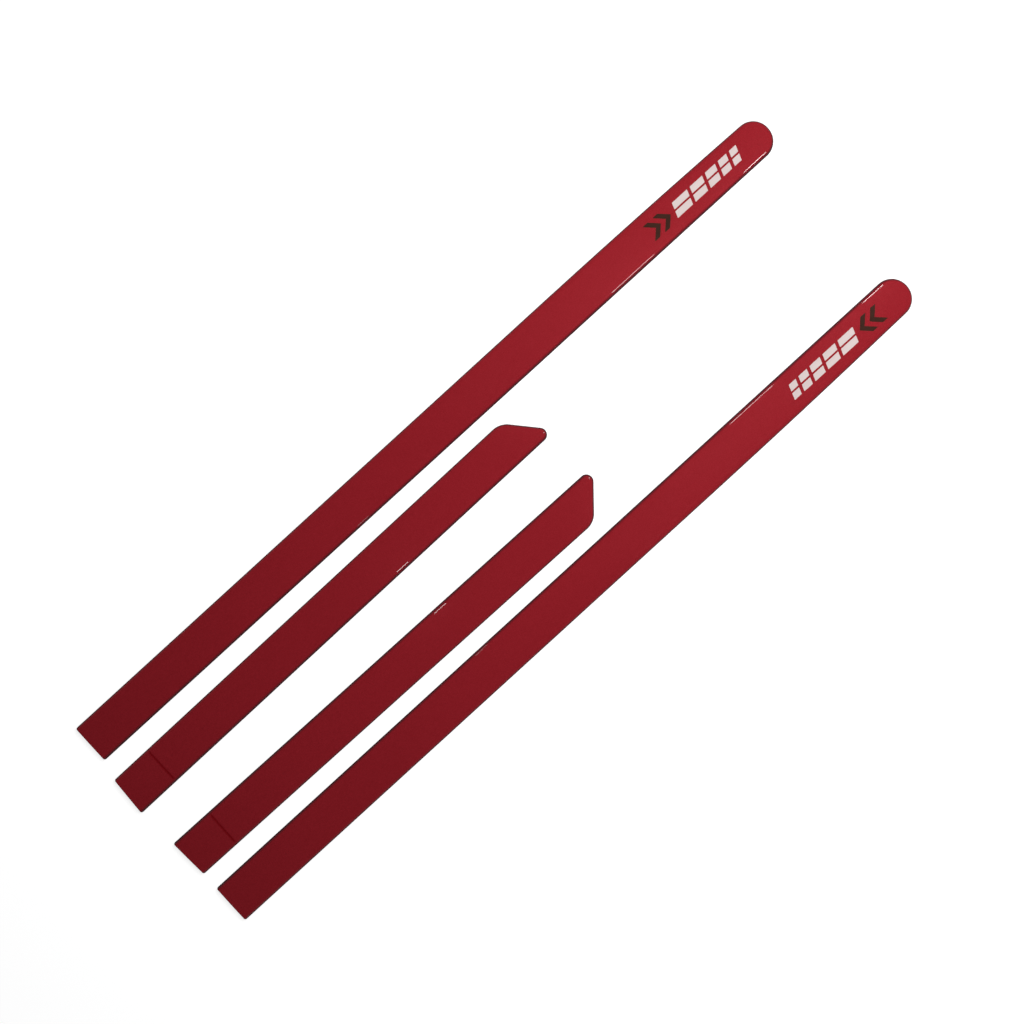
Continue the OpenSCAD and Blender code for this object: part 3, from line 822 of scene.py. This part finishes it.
# ---------------------------------------------------------------- floor, light and camera
def floor():
    """A wide pale table top. To the eye it glows a little, so it stays near white with soft contact
    shadows; in the strips' gloss it is a quiet grey."""
    mesh = bpy.data.meshes.new("table_top")
    reach = 30.0
    corners = [(-reach, -reach, 0), (reach, -reach, 0), (reach, reach, 0), (-reach, reach, 0)]
    mesh.from_pydata(corners, [], [(0, 1, 2, 3)])
    settings = {"Base Color": (0.40, 0.40, 0.40, 1), "Roughness": 0.9, "Specular IOR Level": 0.0,
                "Emission Color": (1, 1, 1, 1), "Emission Strength": 0.84}
    made, web, _ = material("pale_table", settings["Base Color"], settings)
    shader = made.node_tree.nodes["Principled BSDF"]
    path = web.add("LightPath").outputs
    tone = web.mix(path["Is Diffuse Ray"], (0.16, 0.16, 0.165, 1), (0.60, 0.60, 0.60, 1))
    quiet = web.add("BsdfDiffuse", {"Color": tone})
    seen = path["Is Camera Ray"]
    both = web.add("MixShader", {0: seen, 1: quiet.outputs[0], 2: shader.outputs[0]})
    web.feed(made.node_tree.nodes["Material Output"].inputs["Surface"], both.outputs[0])
    mesh.materials.append(made)
    obj = bpy.data.objects.new("table_top", mesh)
    bpy.context.scene.collection.objects.link(obj)


def lamp(name, place, size, power, spread=180.0, glossy=True, diffuse=True):
    """A soft rectangular lamp facing straight down, whose light keeps within its spread in degrees. Places
    and sizes in metres."""
    light = bpy.data.lights.new(name, "AREA")
    light.shape, light.size, light.size_y, light.energy = "RECTANGLE", size[0], size[1], power
    light.spread = np.radians(spread)
    obj = bpy.data.objects.new(name, light)
    obj.location = place
    obj.visible_camera, obj.visible_glossy, obj.visible_diffuse = False, glossy, diffuse
    bpy.context.scene.collection.objects.link(obj)


def room():
    """Pale to the eye; in reflections dark overhead and soft grey towards the horizon."""
    world = bpy.data.worlds.new("studio")
    bpy.context.scene.world = world
    world.use_nodes = True
    web = Web(world.node_tree)
    up = web.add("SeparateXYZ", {0: web.add("TexCoord").outputs["Generated"]}).outputs[2]
    path = web.add("LightPath").outputs
    glow = web.ranged(up, 0.0, 0.75, 0.42, 0.035)
    glow = web.math("MULTIPLY", glow, web.ranged(path["Is Diffuse Ray"], 0.0, 1.0, 1.0, 0.5))
    quiet = web.add("Background", {"Color": (0.92, 0.94, 1.0, 1), "Strength": glow})
    pale = web.add("Background", {"Color": (0.86, 0.86, 0.86, 1), "Strength": 1.0})
    both = web.add("MixShader", {0: path["Is Camera Ray"], 1: quiet.outputs[0], 2: pale.outputs[0]})
    web.feed(world.node_tree.nodes["World Output"].inputs["Surface"], both.outputs[0])


def camera():
    """Straight above, turned so that the strips rise to the right."""
    data = bpy.data.cameras.new("camera")
    data.lens, data.sensor_width = 67.0, 36.0
    obj = bpy.data.objects.new("camera", data)
    obj.location = (0.0150, -0.0065, 2.0)
    obj.rotation_euler = (0, 0, np.radians(-42.39))
    bpy.context.scene.collection.objects.link(obj)
    bpy.context.scene.camera = obj


floor()
room()
camera()
# One soft key over the noses, and small low lamps that show only as glints in the gloss
lamp("soft_key", (0.68, 0.0, 1.20), (1.2, 1.2), 22.4, glossy=False)
lamp("glint_middle", (-0.116, 0.0, 0.13), (0.017, 0.026), 0.005, spread=100.0, diffuse=False)
lamp("glint_taper", (0.323, 0.0, 0.35), (0.070, 0.070), 0.22, diffuse=False)
lamp("glint_nose", (0.531, 0.0, 0.35), (0.046, 0.070), 0.30, diffuse=False)
bpy.context.scene.view_settings.view_transform = "Standard"
